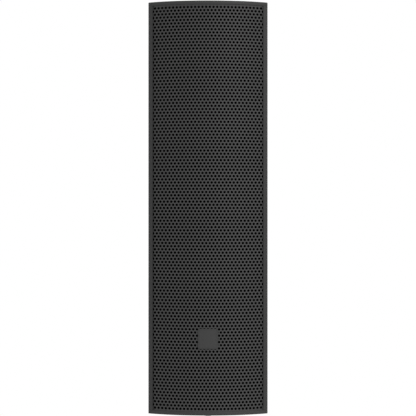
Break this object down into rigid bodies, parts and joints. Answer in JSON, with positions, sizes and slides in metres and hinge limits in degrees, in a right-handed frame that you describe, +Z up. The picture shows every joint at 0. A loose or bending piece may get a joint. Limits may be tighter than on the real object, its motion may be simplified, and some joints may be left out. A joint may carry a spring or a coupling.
{
  "type": "column loudspeaker",
  "caption": "Slim wall-mounted column loudspeaker: curved perforated front, line of full-range drivers, and a sealed rear terminal panel with cable gland and power selector.",
  "frame": {"origin": "centre of the four mounting inserts, on the cabinet's flat back face", "axes": "+Z up, along the column; -Y towards the listener, out of the grille; +Y out of the back, towards the wall bracket; +X to the right seen from the front"},
  "size_m": [0.147, 0.1666, 0.5225],
  "materials": {
    "cabinet_coat": "fine textured powder coat, charcoal black, matt",
    "cap_coat": "fine textured powder coat, charcoal black, matt",
    "grille_coat": "perforated sheet, charcoal black powder coat, matt",
    "badge_coat": "bare satin charcoal plate",
    "panel_coat": "charcoal black powder coat, matt",
    "basket_coat": "semi-gloss black",
    "cloth": "open black weather cloth",
    "baffle_plastic": "moulded, matt black",
    "seal_rubber": "matt black",
    "roll_rubber": "satin black",
    "black_screw": "black oxide steel",
    "steel_screw": "stainless",
    "shaft_steel": "turned",
    "zinc_steel": "zinc plated",
    "core_steel": "laminated, varnished",
    "ferrite": "dark grey, sintered",
    "insert_brass": "turned brass",
    "coil_wire": "enamelled copper wire on a former",
    "coil_tape": "winding under yellow tape",
    "spider_cloth": "resin-treated cloth",
    "cone_paper": "black paper",
    "cover_plastic": "moulded, spark-eroded texture, black",
    "gland_nylon": "black nylon",
    "knob_plastic": "moulded, black",
    "switch_body": "moulded, dark brown",
    "block_plastic": "moulded, green",
    "board_laminate": "green laminate",
    "part_plastic": "moulded parts and windings",
    "lead_red": "insulated lead",
    "lead_blue": "insulated lead"
  },
  "bodies": {
    "cabinet": {"cabinet_extrusion": "cabinet_coat", "top_cap": "cap_coat", "bottom_cap": "cap_coat", "cap_gaskets": "seal_rubber", "cap_screws": "black_screw", "grille": "grille_coat", "grille_cloth": "cloth", "badge": "badge_coat", "baffle": "baffle_plastic", "baskets": "basket_coat", "driver_gaskets": "seal_rubber", "driver_screws": "black_screw", "top_plates": "zinc_steel", "magnets": "ferrite", "yokes": "zinc_steel", "surround_1": "roll_rubber", "surround_2": "roll_rubber", "surround_3": "roll_rubber", "surround_4": "roll_rubber", "surround_5": "roll_rubber", "spider_1": "spider_cloth", "spider_2": "spider_cloth", "spider_3": "spider_cloth", "spider_4": "spider_cloth", "spider_5": "spider_cloth", "rear_inserts": "insert_brass", "terminal_panel": "panel_coat", "terminal_panel_gasket": "seal_rubber", "terminal_panel_screws": "steel_screw", "terminal_cover": "cover_plastic", "terminal_cover_gasket": "seal_rubber", "terminal_cover_screws": "steel_screw", "terminal_block": "block_plastic", "terminal_screws": "zinc_steel", "gland_body": "gland_nylon", "gland_nut": "gland_nylon", "gland_seal": "seal_rubber", "gland_locknut": "gland_nylon", "tap_switch": "switch_body", "transformer_core": "core_steel", "transformer_coil": "coil_tape", "transformer_frame": "zinc_steel", "transformer_screws": "black_screw", "filter_board": "board_laminate", "filter_parts": "part_plastic", "board_posts": "insert_brass", "supply_leads": "lead_red", "driver_leads": "lead_blue"},
    "knob": {"tap_knob": "knob_plastic", "tap_shaft": "shaft_steel"},
    "cone_body_1": {"cone_1": "cone_paper", "voice_coil_1": "coil_wire"},
    "cone_body_2": {"cone_2": "cone_paper", "voice_coil_2": "coil_wire"},
    "cone_body_3": {"cone_3": "cone_paper", "voice_coil_3": "coil_wire"},
    "cone_body_4": {"cone_4": "cone_paper", "voice_coil_4": "coil_wire"},
    "cone_body_5": {"cone_5": "cone_paper", "voice_coil_5": "coil_wire"}
  },
  "joints": [
    {"name": "cone_travel_1", "type": "slide", "parent": "cabinet", "child": "cone_body_1", "axis": [0, -1, 0], "range_m": [-0.003, 0.003], "stiffness_N_per_m": 1200, "deforming": ["surround_1", "spider_1"]},
    {"name": "cone_travel_2", "type": "slide", "parent": "cabinet", "child": "cone_body_2", "axis": [0, -1, 0], "range_m": [-0.003, 0.003], "stiffness_N_per_m": 1200, "deforming": ["surround_2", "spider_2"]},
    {"name": "cone_travel_3", "type": "slide", "parent": "cabinet", "child": "cone_body_3", "axis": [0, -1, 0], "range_m": [-0.003, 0.003], "stiffness_N_per_m": 1200, "deforming": ["surround_3", "spider_3"]},
    {"name": "cone_travel_4", "type": "slide", "parent": "cabinet", "child": "cone_body_4", "axis": [0, -1, 0], "range_m": [-0.003, 0.003], "stiffness_N_per_m": 1200, "deforming": ["surround_4", "spider_4"]},
    {"name": "cone_travel_5", "type": "slide", "parent": "cabinet", "child": "cone_body_5", "axis": [0, -1, 0], "range_m": [-0.003, 0.003], "stiffness_N_per_m": 1200, "deforming": ["surround_5", "spider_5"]},
    {"name": "tap_select", "type": "hinge", "parent": "cabinet", "child": "knob", "pos_m": [0, 0.006, -0.1365], "axis": [0, 1, 0], "range_deg": [-60, 60]}
  ]
}
